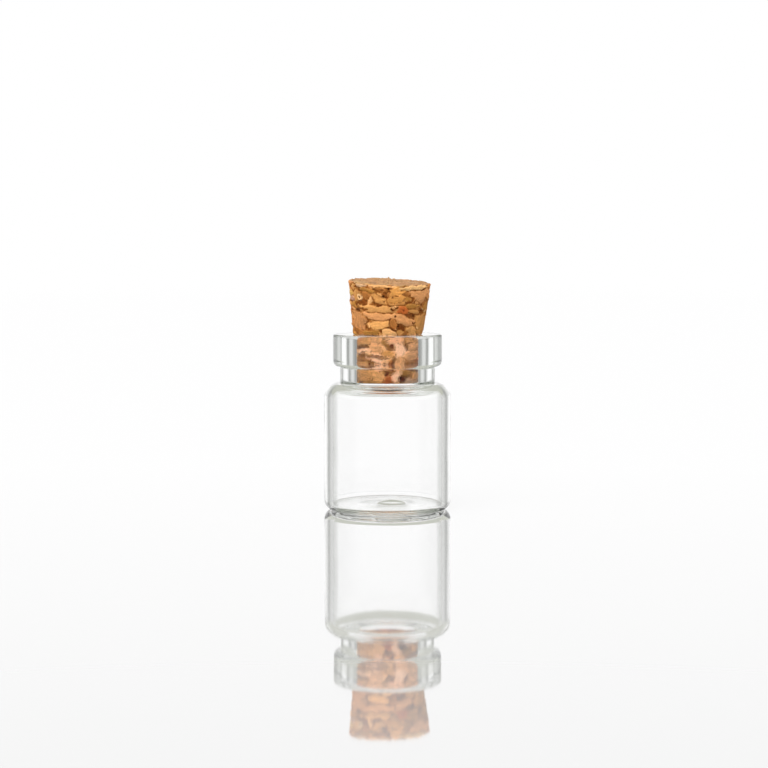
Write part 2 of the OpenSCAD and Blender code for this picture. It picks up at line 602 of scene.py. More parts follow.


# Granules seen on the head: left, right, top and bottom pixel, tone, turn in degrees, lift. Some of them are
# painted light: small CREAM and PALE ones are painted glints and highlights, and some sunk DARK ones are
# painted shadow beneath granules
HEAD_GRANULES = (
    SeenGranule(352, 366, 283, 287, Tone.MAUVE),
    # Partly a painted highlight along the head's front top edge
    SeenGranule(366, 390, 282.5, 287, Tone.PALE),
    SeenGranule(400, 428, 284.5, 288.6, Tone.CREAM, 0, 0.03),
    SeenGranule(352, 373, 286.5, 290.5, Tone.OLIVE, -6),
    SeenGranule(371, 386, 286, 291, Tone.BROWN, -14),
    SeenGranule(386, 402, 287.5, 299.5, Tone.AMBER, 0, 0.05),
    SeenGranule(409.5, 430.5, 288, 299, Tone.PEACH, 0, 0.04),
    SeenGranule(421, 430, 290, 297, Tone.PEACH, 0, 0.04),
    SeenGranule(380.5, 384.5, 292.5, 297, Tone.DARK, 0, -0.12),
    SeenGranule(384.5, 388, 289.5, 296, Tone.BROWN, 0, -0.1),
    SeenGranule(372.5, 385.5, 295.5, 302, Tone.TAN, -22),
    SeenGranule(366, 371.5, 297, 304, Tone.PALE, 62, 0.06),
    SeenGranule(353, 358, 290.5, 300, Tone.TAN, 80),
    SeenGranule(362, 368, 293, 299.5, Tone.BROWN, -30, -0.06),
    # Painted shadow beneath the granules above it
    SeenGranule(353, 366, 300.5, 304.5, Tone.DARK, 10, -0.12),
    SeenGranule(371, 381, 302, 305, Tone.DARK, -12, -0.12),
    SeenGranule(393, 404.5, 300, 303.5, Tone.TAN),
    SeenGranule(403.5, 413, 295, 300, Tone.OLIVE, 10),
    SeenGranule(400.5, 410.5, 290.5, 294.5, Tone.BROWN, -8, -0.04),
    SeenGranule(406, 418.5, 302.5, 307.5, Tone.OLIVE, 0, -0.05),
    SeenGranule(418, 424, 300, 306, Tone.BROWN, 40, -0.05),
    # Painted shadow beneath the granules above it
    SeenGranule(417, 424, 305.5, 311.5, Tone.DARK, -25, -0.12),
    SeenGranule(424, 429, 300, 309, Tone.OLIVE, 80),
    SeenGranule(365, 389.5, 304.8, 311.8, Tone.SAND, 0, 0.06),
    SeenGranule(390.5, 398, 303.8, 308, Tone.PALE, 8, 0.03),
    SeenGranule(396.5, 407, 304.5, 312.5, Tone.RUSSET, -20, 0.03),
    # Painted shadow beneath the granules above it
    SeenGranule(404, 415, 312.2, 316.2, Tone.DARK, -10, -0.14),
    SeenGranule(354.5, 362.5, 308.3, 312.3, Tone.UMBER, 0, -0.12),
    SeenGranule(353, 363.5, 312.8, 329, Tone.CLAY, 80, 0.05),
    SeenGranule(363, 389.5, 312.3, 319, Tone.PEACH, 0, 0.06),
    SeenGranule(366, 387.5, 321.2, 328.8, Tone.SAND, 15, 0.06),
    SeenGranule(366.3, 372, 324, 328.6, Tone.PALE, 20, 0.07),
    SeenGranule(382.6, 395.6, 328.4, 341, Tone.PALE, 0, 0.12),
    SeenGranule(387.5, 395.5, 316.5, 326.5, Tone.BROWN, -58, -0.02),
    SeenGranule(394.5, 416.5, 314, 323.5, Tone.PEACH, -16, 0.05),
    SeenGranule(406.3, 416.5, 324, 334.5, Tone.SAND, -52, 0.05),
    SeenGranule(398, 406, 323, 329.5, Tone.DARK, -25, -0.14),
    SeenGranule(396.5, 402.5, 328.5, 335.5, Tone.TAN, -45),
    SeenGranule(417.5, 429, 311.5, 333.5, Tone.TAN, 72),
    SeenGranule(363, 379.5, 329.3, 335.5, Tone.OLIVE, 8, -0.02),
    SeenGranule(354.5, 363.5, 328.5, 334.5, Tone.BROWN, -20, -0.02),
    SeenGranule(378, 382.2, 331, 336, Tone.TAN, 60, -0.04),
    SeenGranule(414.5, 422, 329.5, 336, Tone.TAN, -40),
    SeenGranule(402.5, 408, 330, 336.5, Tone.BROWN, -30),
    # A painted glint
    SeenGranule(357.5, 360.8, 309, 311.8, Tone.CREAM, -30, 0.05),
    SeenGranule(384.5, 389, 286, 288, Tone.DARK, 0, -0.06),
    SeenGranule(400.5, 404, 286.5, 288.6, Tone.TAN, 0, -0.02),
    # A painted glint
    SeenGranule(419.5, 422.5, 304.5, 306.5, Tone.CREAM, -40, 0.06),
    SeenGranule(407, 420, 308, 312, Tone.TAN, -8, 0.03),
    SeenGranule(356, 365, 305.8, 308.6, Tone.SAND, -8, 0.04),
    # The next two small CREAM granules are painted glints, and the PALE one after them is a painted highlight
    # band
    SeenGranule(415, 418.2, 324, 327, Tone.CREAM, -30, 0.05),
    SeenGranule(411, 415.8, 319.3, 321.6, Tone.CREAM, -15, 0.06),
    SeenGranule(388, 400, 292.6, 295.4, Tone.PALE, 4, 0.06),
    SeenGranule(387.6, 393.2, 300, 304.6, Tone.TAN, 10, 0.0),
    # A painted glint
    SeenGranule(422, 424.8, 307.2, 309.2, Tone.CREAM, -60, 0.06),
    SeenGranule(374.5, 380, 292.6, 295, Tone.SAND, -30, 0.04),
    SeenGranule(385, 398, 325.4, 328.4, Tone.DARK, -22, -0.1),
    SeenGranule(379.6, 382.8, 328, 334, Tone.DARK, 76, -0.1),
)

# Granules seen on the plug through the neck, in the same columns
PLUG_GRANULES = (
    SeenGranule(357, 369.5, 338.5, 346, Tone.TAN, 0),
    SeenGranule(358, 369, 345.4, 348.2, Tone.DARK, 0, -0.04),
    SeenGranule(369, 383.5, 338.5, 353.5, Tone.BUFF, 0),
    SeenGranule(382.5, 389, 339, 345.5, Tone.OLIVE, -20),
    SeenGranule(387.5, 404.5, 337.5, 344.5, Tone.BLUSH, 0),
    SeenGranule(404, 407, 338.5, 346, Tone.BROWN, 80),
    SeenGranule(407, 419, 338.5, 343.5, Tone.TAN, -10),
    SeenGranule(406, 408.8, 343, 350, Tone.DARK, 78, -0.02),
    SeenGranule(409, 418.5, 342, 350, Tone.BUFF, -10),
    SeenGranule(358, 371, 348.5, 352.5, Tone.MILK, 5, 0.02),
    SeenGranule(363.5, 370, 350.5, 355.5, Tone.PALE, -20),
    SeenGranule(360.5, 364, 350.5, 356.5, Tone.BROWN, 62, -0.06),
    SeenGranule(380, 386.5, 345.5, 351, Tone.PALE, -40, 0.02),
    SeenGranule(385.5, 396, 344, 349.5, Tone.BROWN, -12),
    SeenGranule(390.4, 393.4, 343.8, 346.2, Tone.RUST, 0, -0.02),
    SeenGranule(383, 394, 350, 356.4, Tone.AMBER, 0, -0.02),
    SeenGranule(394.8, 400.5, 342.5, 347.8, Tone.MILK, -30),
    SeenGranule(395, 405.5, 356, 368, Tone.BUFF, 86, 0.02),
    SeenGranule(395.5, 406, 345, 356, Tone.MILK, 86, 0.03),
    SeenGranule(403.5, 418.5, 350.5, 359.6, Tone.BUFF, 5),
    SeenGranule(363, 384, 354.6, 357.6, Tone.DARK, -9, -0.1),
    # A painted glint
    SeenGranule(372.5, 381, 352.8, 355.2, Tone.MILK, -8, 0.03),
    SeenGranule(370.5, 384, 357.2, 362.4, Tone.MILK, -16, 0.02),
    SeenGranule(382.5, 392.3, 356.4, 359.4, Tone.PALE, 0, 0.03),
    SeenGranule(382.5, 390.5, 359.2, 362.6, Tone.AMBER, 4),
    SeenGranule(382, 390.5, 362.6, 365.8, Tone.BROWN, 4, -0.04),
    SeenGranule(383, 388.5, 365.5, 368.6, Tone.PALE, 0, 0.02),
    SeenGranule(388, 392.6, 360.5, 369, Tone.RUSSET, 85, 0.01),
    SeenGranule(391.8, 395.6, 355.5, 367.5, Tone.DARK, 82, -0.02),
    SeenGranule(358, 370, 357.6, 361.2, Tone.BROWN, 8, -0.04),
    SeenGranule(358, 375, 361, 369.2, Tone.TAN, 4),
    SeenGranule(374, 381, 361.8, 372, Tone.BLUSH, 84),
    SeenGranule(405.5, 419, 359, 368.5, Tone.BROWN, 0),
    SeenGranule(358, 371, 369, 377.5, Tone.TAN, -20),
    SeenGranule(358, 365, 377, 382.5, Tone.TAN, 20),
    SeenGranule(368, 385, 369.5, 381, Tone.SAND, 0, 0.02),
    SeenGranule(358, 382, 380.6, 385, Tone.OLIVE, 2, -0.03),
    SeenGranule(380, 393, 369, 375, Tone.BROWN, -6),
    SeenGranule(383.5, 393.5, 375.8, 383.5, Tone.RUSSET, 0),
    SeenGranule(384.2, 388.4, 373.6, 376, Tone.RUST, 0, -0.02),
    SeenGranule(393.6, 400.5, 371.5, 382, Tone.MILK, 82, 0.02),
    SeenGranule(400.5, 406.5, 375.6, 382, Tone.RUST, 50, -0.02),
    SeenGranule(401, 412, 369.5, 376, Tone.OLIVE, 0),
    SeenGranule(411.5, 414.5, 372, 378, Tone.BROWN, 80, -0.05),
    SeenGranule(414, 419, 369.5, 380, Tone.TAN, 85),
    SeenGranule(406, 419, 377.5, 384.5, Tone.MAUVE, 0),
    SeenGranule(394, 407, 381.5, 385, Tone.OLIVE, 0),
)


# How often each tone comes among the granules that fill the cork
LOOSE_TONES = {Tone.SAND: 18, Tone.AMBER: 15, Tone.PEACH: 13, Tone.TAN: 17, Tone.BROWN: 12, Tone.PALE: 9,
               Tone.OLIVE: 6, Tone.MAUVE: 4, Tone.RUSSET: 3, Tone.DARK: 5}


@dataclass(frozen=True)
class Granule:
    """One granule: its middle, its directions along, up and out, its half sizes, colour and lift.

    A loose one fills the space that the placed ones leave.
    """

    centre: np.ndarray
    rows: np.ndarray
    halves: np.ndarray
    colour: np.ndarray
    lift: float
    loose: bool


@dataclass
class GranuleBed:
    """The granules that the cork is pressed from, and what they do to a point of its surface."""

    seed: int = 7
    # How much wider than high the loose granules are, and how close they lie
    flat: float = 2.1
    spacing: float = 1.02
    # The gaps between granules, and the rounding of their edges
    gap: float = 0.09
    gap_depth: float = 0.07
    dome: float = 0.05
    warp: float = 0.17
    # How far loose granules lie behind the placed ones, and raised ones before the rest
    behind: float = 0.45
    before: float = 2.5
    compared: int = 12
    darts: int = 9000
    batch: int = 8000
    dark_sink: float = 0.12
    granules: list[Granule] = field(default_factory=list)

    @property
    def squash(self) -> np.ndarray:
        """What turns places into ones where the flat granules are as high as wide."""
        return np.array([1.0, 1.0, self.flat])

    def column(self, name: str) -> np.ndarray:
        """Gives one value of every granule, in their order."""
        return np.array([getattr(granule, name) for granule in self.granules])

    def fill(self, top: float, bottom: float, reach: float) -> None:
        """Fills a round space with granules that lie mostly level, by throwing darts.

        Args:
            top: The space's upper end.
            bottom: Its lower end.
            reach: Its radius.
        """
        random = np.random.default_rng(self.seed)
        tones = list(LOOSE_TONES)
        share = np.array(list(LOOSE_TONES.values())) / sum(LOOSE_TONES.values())
        count = len(self.granules)
        placed = np.full((self.darts + count, 3), 1e3)
        placed[:count] = self.column("centre") * self.squash
        for _ in range(self.darts):
            spot = np.array([*random.uniform(-reach, reach, 2), random.uniform(bottom, top)])
            size = random.uniform(0.72, 1.28)
            turn, tilt, roll = random.uniform(0, math.tau), random.normal(0, 0.24), random.normal(0, 0.3)
            tone = tones[random.choice(len(tones), p=share)]
            shade = random.normal(1.0, 0.07, 3) * random.normal(1.0, 0.09)
            halves = np.array([random.uniform(0.75, 1.3), random.uniform(0.3, 0.5),
                               random.uniform(0.45, 0.8)]) * size
            lift = random.normal(0.0, 0.025)
            if math.hypot(*spot[:2]) > reach:
                continue
            flat = spot * self.squash
            if ((placed[:count] - flat) ** 2).sum(axis=1).min() < (self.spacing * size) ** 2:
                continue
            placed[count] = flat
            count += 1
            turned = (Matrix.Rotation(turn, 3, "Z") @ Matrix.Rotation(tilt, 3, "Y")
                      @ Matrix.Rotation(roll, 3, "X"))
            rows = np.array(turned.transposed())[[0, 2, 1]]
            lift -= self.dark_sink * (tone is Tone.DARK)
            self.granules.append(Granule(spot, rows, halves, tone.light * shade, lift, True))

    def read(self, points: np.ndarray) -> "Grain":
        """Finds what granule each point lies on.

        Args:
            points: Points of the surface.

        Returns:
            Where each point lies among the granules.
        """
        strayed = points + self.warp * np.stack(
            [lattice_noise(points, 0.6, 11 + k) + 0.45 * lattice_noise(points, 0.26, 21 + k)
             for k in range(3)], axis=1) * np.array([1.0, 1.0, 0.7])
        centres, frames, halves = (self.column(name) for name in ("centre", "rows", "halves"))
        loose = self.column("loose")
        penalty = np.where(loose, self.behind, -self.before * np.clip(self.column("lift"), 0.0, 0.1))
        fixed = int(np.sum(~loose))
        tree = KDTree(len(centres) - fixed)
        for i in range(fixed, len(centres)):
            tree.insert(centres[i] * self.squash, i)
        tree.balance()
        near = np.empty((len(points), self.compared), dtype=np.int64)
        for row, spot in zip(near, strayed * self.squash):
            row[:] = [found[1] for found in tree.find_n(spot, self.compared)]
        near = np.hstack([near, np.tile(np.arange(fixed), (len(points), 1))])
        owner, beyond = (np.empty(len(points), dtype=np.int64) for _ in range(2))
        local = np.empty((len(points), 3))
        clear = np.empty(len(points))
        for start in range(0, len(points), self.batch):
            part = slice(start, start + self.batch)
            some = near[part]
            arm = strayed[part, None, :] - centres[some]
            inner = np.einsum("mni,mnki->mnk", arm, frames[some]) / halves[some]
            reach = (np.abs(inner) ** 2.5).sum(axis=2) ** 0.4 + penalty[some]
            order = np.argpartition(reach, 1, axis=1)[:, :2]
            pair = np.take_along_axis(reach, order, axis=1)
            best = np.where(pair[:, 0] > pair[:, 1], order[:, 1], order[:, 0])
            rows = np.arange(len(best))
            owner[part] = some[rows, best]
            beyond[part] = some[rows, order.sum(axis=1) - best]
            local[part] = inner[rows, best]
            clear[part] = np.abs(pair[:, 1] - pair[:, 0]) * halves[owner[part], 1] / 2
        return Grain(owner, beyond, local, clear)


@dataclass
class Grain:
    """Where the points of a surface lie among the granules.

    Each has its granule's number and the next one's, its place on it in half sizes, and how far inside it
    it is in millimetres.
    """

    owner: np.ndarray
    beyond: np.ndarray
    local: np.ndarray
    clear: np.ndarray

    @property
    def upward(self) -> np.ndarray:
        """Each point's place between its granule's lower edge, -1, and its upper, 1."""
        return np.clip(self.local[:, 1], -1.0, 1.0)


@dataclass(frozen=True)
class SeenPore:
    """A round pore in the cork, by its pixel in the photograph and the radius of its hole in millimetres."""

    x: float
    y: float
    radius: float
    rim: float = 0.0


PORES = (
    SeenPore(357.8, 296.5, 0.12, 1.0),
    SeenPore(381.2, 295.0, 0.13),
    SeenPore(389.9, 307.3, 0.09),
    SeenPore(394.6, 314.2, 0.1),
    SeenPore(414.0, 313.6, 0.13),
    SeenPore(398.6, 324.2, 0.1),
    SeenPore(355.3, 309.8, 0.12),
    SeenPore(420.8, 307.6, 0.13),
    SeenPore(386.3, 287.0, 0.12),
    SeenPore(403.5, 282.4, 0.1),
    SeenPore(420.6, 302.2, 0.1),
    SeenPore(369.0, 363.6, 0.13),
    SeenPore(403.4, 378.8, 0.14),
    SeenPore(387.0, 374.6, 0.1),
    SeenPore(392.0, 345.0, 0.1),
)


@dataclass(frozen=True)
class GlassFinish:
    """Clear soda glass, faintly green where light goes a long way through it."""

    index: float = 1.5
    tint: tuple[float, float, float, float] = (0.87, 0.925, 0.86, 1.0)
    density: float = 28.0
    swirl_scale: float = 420.0
    swirl_strength: float = 0.02
    swirl_depth: float = 0.2

    def material(self) -> bpy.types.Material:
        """Makes the glass's material."""
        material, graph = new_material("clear_glass")
        place = graph.out(graph.add("ShaderNodeTexCoord"), "Object")
        swirl = graph.noise(place, self.swirl_scale)
        bump = graph.add("ShaderNodeBump", None, {
            "Strength": self.swirl_strength, "Distance": self.swirl_depth * MM, "Height": swirl})
        glass = graph.add("ShaderNodeBsdfPrincipled", None,
                          {"Base Color": WHITE, "Roughness": 0.0, "IOR": self.index,
                           "Transmission Weight": 1.0, "Normal": graph.out(bump)})
        body = graph.add("ShaderNodeVolumeAbsorption", None, {"Color": self.tint, "Density": self.density})
        graph.add("ShaderNodeOutputMaterial", None,
                  {"Surface": graph.out(glass), "Volume": graph.out(body)})
        return material


@dataclass(frozen=True)
class CorkFinish:
    """Matt pressed cork, whose granules carry their colours together with painted highlights and shade."""

    attribute: str = "granules"
    roughness: float = 0.82
    index: float = 1.4
    specular: float = 0.12
    cell_scale: float = 9000.0
    cell_dark: tuple[float, float, float, float] = (0.9, 0.88, 0.86, 1.0)
    cell_pale: float = 1.06
    fleck_scale: float = 3200.0
    fleck_tone: tuple[float, float, float, float] = (0.2, 0.1, 0.045, 1.0)
    fleck_share: float = 0.3
    bump_strength: float = 0.35
    bump_depth: float = 0.04

    def material(self) -> bpy.types.Material:
        """Makes the cork's material."""
        material, graph = new_material("pressed_cork")
        place = graph.out(graph.add("ShaderNodeTexCoord"), "Object")
        granules = graph.out(graph.add("ShaderNodeAttribute", {"attribute_name": self.attribute}), "Color")
        cells = graph.noise(place, self.cell_scale, 3.0, 0.6)
        fleck = graph.noise(place, self.fleck_scale, 2.0, 0.6)
        darker = graph.mix(cells.ramp(0.36, 0.62), self.cell_dark, even(self.cell_pale))
        toned = graph.mix(1.0, granules, darker, "MULTIPLY")
        coloured = graph.mix(fleck.ramp(0.66, 0.76, 0.0, self.fleck_share), toned, self.fleck_tone)
        bump = graph.add("ShaderNodeBump", None, {
            "Strength": self.bump_strength, "Distance": self.bump_depth * MM,
            "Height": cells * 0.6 + fleck * 0.8})
        cork = graph.add("ShaderNodeBsdfPrincipled", None,
                         {"Base Color": coloured, "Roughness": self.roughness - 0.1 * cells,
                          "IOR": self.index, "Specular IOR Level": self.specular,
                          "Normal": graph.out(bump)})
        graph.add("ShaderNodeOutputMaterial", None, {"Surface": graph.out(cork)})
        return material


@dataclass
class GlassBottle:
    """The blown bottle: its body, shoulder, neck, heavy rim and floor."""

    lathe: Lathe
    body_r: float = 6.5
    body_h: float = 13.03
    wall_t: float = 0.8
    floor_t: float = 0.66
    heel_r: float = 0.99
    inner_heel_r: float = 0.08
    hollow_r: float = 3.2
    hollow_depth: float = 0.02
    button_r: float = 1.5
    button_h: float = 0.3
    button_aside: float = 0.45
    shoulder_r: float = 1.37
    ceiling_r: float = 0.88
    ceiling_fall: float = 8.79
    shoulder_fall: float = 5.88
    shoulder_t: float = 0.65
    neck_r: float = 4.85
    neck_h: float = 1.67
    neck_fillet_r: float = 0.12
    bore_r: float = 3.2
    neck_root_r: float = 0.12
    throat_r: float = 0.1
    rim_r: float = 5.575
    rim_h: float = 3.3
    rim_under_r: float = 0.6
    rim_edge_r: float = 0.2
    mouth_r: float = 0.45
    segments: int = 320
    waver: float = 0.01
    waver_size: float = 5.0
    waver_above: float = 1.2
    still_past_bore: float = 0.6

    @property
    def rim_foot_z(self) -> float:
        """The height of the rim's lower end."""
        return self.body_h + self.neck_h

    @property
    def mouth_z(self) -> float:
        """The height of the mouth."""
        return self.rim_foot_z + self.rim_h

    @property
    def mouth_centre(self) -> tuple[float, float]:
        """The centre of the mouth's rounding."""
        return self.bore_r + self.mouth_r, self.mouth_z - self.mouth_r

    @staticmethod
    def fallen(start: tuple[float, float], fall: float, radius: float, away: float) -> tuple[float, float]:
        """Finds a point on a line parallel to one that falls away outwards.

        Args:
            start: A point of that line.
            fall: Its fall, in degrees.
            radius: The radius of the point to find.
            away: How far its line lies outside the other.

        Returns:
            The point.
        """
        turn = math.radians(fall)
        return radius, start[1] + (away - math.sin(turn) * (radius - start[0])) / math.cos(turn)

    def dome(self, outline: Outline, radius: float, rise: float, height: float, outwards: bool) -> None:
        """Adds a shallow dome between the axis and a radius.

        Args:
            outline: Where it is added.
            radius: The dome's radius.
            rise: Its rise in the middle.
            height: The height of its rim.
            outwards: True to run from the axis to the rim.
        """
        ball = (radius ** 2 + rise ** 2) / (2 * rise)
        span = math.degrees(math.asin(radius / ball))
        ends = (90, 90 - span) if outwards else (90 - span, 90)
        outline.arc((0.0, height + rise - ball), ball, *ends, step=0.25)

    def outline(self) -> Outline:
        """Draws the half section: the foot, outside up to the mouth, and back down inside."""
        fall, inside = self.shoulder_fall, self.ceiling_fall
        root = (self.neck_r, self.body_h)
        lean = math.radians(fall)
        ceiling = (root[0] - self.shoulder_t * math.sin(lean), root[1] - self.shoulder_t * math.cos(lean))
        shoulder = self.fallen(root, fall, self.body_r - self.shoulder_r, -self.shoulder_r)
        neck_root = self.fallen(root, fall, self.neck_r + self.neck_root_r, self.neck_root_r)
        throat = self.fallen(ceiling, inside, self.bore_r + self.throat_r, self.throat_r)
        inner_r = self.body_r - self.wall_t
        roof = self.fallen(ceiling, inside, inner_r - self.ceiling_r, -self.ceiling_r)
        foot_z, top_z = self.rim_foot_z, self.mouth_z
        under = min(self.rim_under_r, self.rim_r - self.neck_r - self.neck_fillet_r)
        line = Outline(0.06)
        self.dome(line, self.hollow_r, self.hollow_depth, 0.0, True)
        line.arc((self.body_r - self.heel_r, self.heel_r), self.heel_r, -90, 0, run_step=0.15)
        line.arc(shoulder, self.shoulder_r, 0, 90 - fall, run_step=0.5)
        line.arc(neck_root, self.neck_root_r, 270 - fall, 180)
        fillet = (self.neck_r + self.neck_fillet_r, foot_z - self.neck_fillet_r)
        line.arc(fillet, self.neck_fillet_r, 180, 90, step=0.04, run_step=0.15)
        line.arc((self.rim_r - under, foot_z + under), under, -90, 0)
        line.arc((self.rim_r - self.rim_edge_r, top_z - self.rim_edge_r), self.rim_edge_r, 0, 90,
                 step=0.04, run_step=0.3)
        line.arc(self.mouth_centre, self.mouth_r, 90, 180, run_step=0.15)
        line.arc(throat, self.throat_r, 180, 270 - inside, run_step=0.4)
        line.arc(roof, self.ceiling_r, 90 - inside, 0)
        line.arc((inner_r - self.inner_heel_r, self.floor_t + self.inner_heel_r), self.inner_heel_r, 0, -90,
                 run_step=0.5)
        line.to(self.button_r, self.floor_t, 0.3)
        self.dome(line, self.button_r, self.button_h, self.floor_t, False)
        return line

    def shift_button(self, mesh: bpy.types.Mesh) -> None:
        """Moves the button aside on the floor, as a blown one is seldom in the middle.

        Args:
            mesh: The turned bottle.
        """
        points = coordinates(mesh)
        reach = np.hypot(points[:, 0], points[:, 1])
        above = (points[:, 2] > self.floor_t / 2) & (points[:, 2] < 2 * self.floor_t)
        near = 1 - smoothstep(self.button_r, 2.2 * self.button_r, reach)
        points[:, 0] += self.button_aside * near * above
        set_coordinates(mesh, points)

    def build(self, finish: bpy.types.Material) -> bpy.types.Object:
        """Turns the bottle and gives it its place in the frame.

        Args:
            finish: The glass's material.

        Returns:
            The bottle.
        """
        waver = Waver(self.waver, self.waver_size, self.waver_above, self.bore_r + self.still_past_bore)
        bottle = self.lathe.turn("bottle_glass", self.outline(), finish, self.segments, waver)
        self.shift_button(bottle.data)
        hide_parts("glass_bottle")
        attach(bottle, "bottle")
        return bottle


@dataclass
class CorkStopper:
    """The cork: a straight plug in the neck, flared over the mouth, with a leaning head."""

    lathe: Lathe
    bottle: GlassBottle
    view: Viewpoint
    bed: GranuleBed = field(default_factory=GranuleBed)
    fit_gap: float = 0.03
    plug_l: float = 4.87
    plug_end_r: float = 0.12
    head_h: float = 5.4
    flare_end: float = 105.0
    head_flare: float = 7.4
    head_edge_r: float = 0.16
    head_lean: float = 3.9
    lean_way: float = -52.0
    segments: int = 420
    step: float = 0.064
    tint: tuple[float, float, float] = (0.86, 0.84, 0.74)
    # Painted light and shade on the plug: where the glass holds it, it is made paler and its contrast
    # stronger, to stand for how light through the glass falls on it
    neck_light_tint: tuple[float, float, float] = (0.96, 0.96, 1.0)
    neck_shade_contrast: float = 1.75
    neck_grey: float = 0.36
    soft_edge: float = 0.16
    steadied: float = 0.75
    burr_h: float = 0.17
    # How much each effect lightens or darkens a granule: streaks, mottle and patches are the cork's own, the
    # rim and upper ones are painted highlight and painted light from above, and the neck's darker gaps are
    # painted shade
    streaked: float = 0.2
    mottled: float = 0.07
    patched: float = 0.05
    painted_rim_highlight: float = 0.2
    painted_upper_light: float = 0.19
    painted_upper_light_lost: float = 0.1
    gap_shade_in_neck: tuple[float, float, float] = (0.15, 0.3, 0.4)
    brightness: tuple[float, float, float] = (0.3, 0.6, 0.1)
    # How a granule that the photograph shows is set into the blank
    upright_from: float = 55.0
    seen_thickness: float = 0.4
    seen_sink: float = 0.05
    seen_growth: float = 1.05

    @property
    def plug_r(self) -> float:
        """The radius of the squeezed plug."""
        return self.bottle.bore_r - self.fit_gap

    @property
    def plug_z(self) -> float:
        """The height of the cork's lower end."""
        return self.bottle.mouth_z - self.plug_l

    @property
    def foot_r(self) -> float:
        """The head's radius at the mouth, where the flare over the mouth's rounding ends."""
        end = math.cos(math.radians(self.flare_end))
        return self.bottle.mouth_centre[0] + (self.bottle.mouth_r + self.fit_gap) * end

    @property
    def burr(self) -> np.ndarray:
        """Where a splinter stands up at the back of the head's top."""
        return np.array([-0.13, self.top_r - 0.12, self.bottle.mouth_z + self.head_h])

    @property
    def top_r(self) -> float:
        """The head's radius at its top."""
        return self.foot_r + self.head_h * math.tan(math.radians(self.head_flare))

    def radius_at(self, height: float) -> float:
        """The cork's radius at a height, before its lean."""
        over = height - self.bottle.mouth_z
        return self.foot_r + over * math.tan(math.radians(self.head_flare)) if over > 0 else self.plug_r

    def outline(self) -> Outline:
        """Draws the blank's half section, from the plug's lower end to the head's top."""
        end, edge = self.plug_end_r, self.head_edge_r
        centre, mouth = self.bottle.mouth_centre, self.bottle.mouth_z
        line = Outline(self.step)
        line.to(0.0, self.plug_z)
        line.to(1.4, self.plug_z, 0.2)
        line.arc((self.plug_r - end, self.plug_z + end), end, -90, 0, run_step=0.11)
        line.arc(centre, self.bottle.mouth_r + self.fit_gap, 180, self.flare_end, run_step=0.085)
        flare = self.head_flare
        tilt = math.radians(flare)
        top = (self.top_r - edge * (1 + math.sin(tilt)) / math.cos(tilt), mouth + self.head_h - edge)
        line.arc(top, edge, -flare, 90, step=0.05)
        line.to(1.6, mouth + self.head_h, 0.075)
        line.to(0.0, mouth + self.head_h, 0.13)
        return line

    def lean(self, points: np.ndarray) -> np.ndarray:
        """Leans the head about the middle of the mouth, growing from nothing just above it.

        Args:
            points: Points of the upright cork.

        Returns:
            The leaned points.
        """
        way = math.radians(self.lean_way)
        pivot = np.array([0.0, 0.0, self.bottle.mouth_z])
        axis = np.array([-math.sin(way), math.cos(way), 0.0])
        angle = math.radians(self.head_lean) * smoothstep(
            self.bottle.mouth_z + self.fit_gap, self.bottle.mouth_z + 0.9, points[:, 2])
        arm = points - pivot
        along = arm @ axis
        turned = (arm * np.cos(angle)[:, None] + np.cross(axis, arm) * np.sin(angle)[:, None]
                  + axis * (along * (1 - np.cos(angle)))[:, None])
        return pivot + turned

    def through_glass(self, across: float) -> float:
        """Finds the angle round the plug that shows at a distance from the axis, through the rim.

        Args:
            across: The distance right of the axis, in millimetres.

        Returns:
            The angle from the front, in radians.
        """
        index, outer, bore = GlassFinish.index, self.bottle.rim_r, self.bottle.bore_r
        reach = max(-0.99 * self.plug_r, min(0.99 * self.plug_r, across))
        outside = math.asin(reach / outer)
        return outside + math.asin(reach / (index * bore)) - math.asin(reach / (index * outer))

    def seen_at(self, x: float, y: float) -> tuple[float, float, float]:
        """Finds the spot of the blank that shows at a pixel.

        Args:
            x: The pixel's column.
            y: Its row.

        Returns:
            The spot's angle from the front, its height and the blank's radius there.
        """
        reach = self.plug_r
        for _ in range(3):
            height = self.view.height_at(y, reach)
            radius = self.radius_at(height)
            across = self.view.across_at(x, reach)
            if height < self.bottle.mouth_z:
                angle = self.through_glass(across)
            else:
                angle = math.asin(max(-0.97, min(0.97, across / radius)))
            reach = radius * math.cos(angle)
        return angle, height, radius

    def place_seen(self) -> None:
        """Puts the granules that the photograph shows on the front of the blank."""
        for seen in HEAD_GRANULES + PLUG_GRANULES:
            angle, height, radius = self.seen_at((seen.left + seen.right) / 2, (seen.top + seen.bottom) / 2)
            scale = self.view.focal / (self.view.distance - radius * math.cos(angle))
            stretch = 1 / max(math.cos(angle), 0.35)
            wide = (seen.right - seen.left) / 2 / scale * stretch
            high = (seen.bottom - seen.top) / 2 / scale
            along, over = (high, wide) if abs(seen.turn) > self.upright_from else (wide, high)
            halves = np.array([along, over, self.seen_thickness]) * self.seen_growth
            out = np.array([math.sin(angle), -math.cos(angle), 0.0])
            side, up = np.array([math.cos(angle), math.sin(angle), 0.0]), np.array([0.0, 0.0, 1.0])
            turn = math.radians(seen.turn)
            rows = np.array([side * math.cos(turn) + up * math.sin(turn),
                             up * math.cos(turn) - side * math.sin(turn), out])
            centre = out * (radius - self.seen_sink) + up * height
            self.bed.granules.append(Granule(centre, rows, halves, seen.tone.light, seen.lift, False))

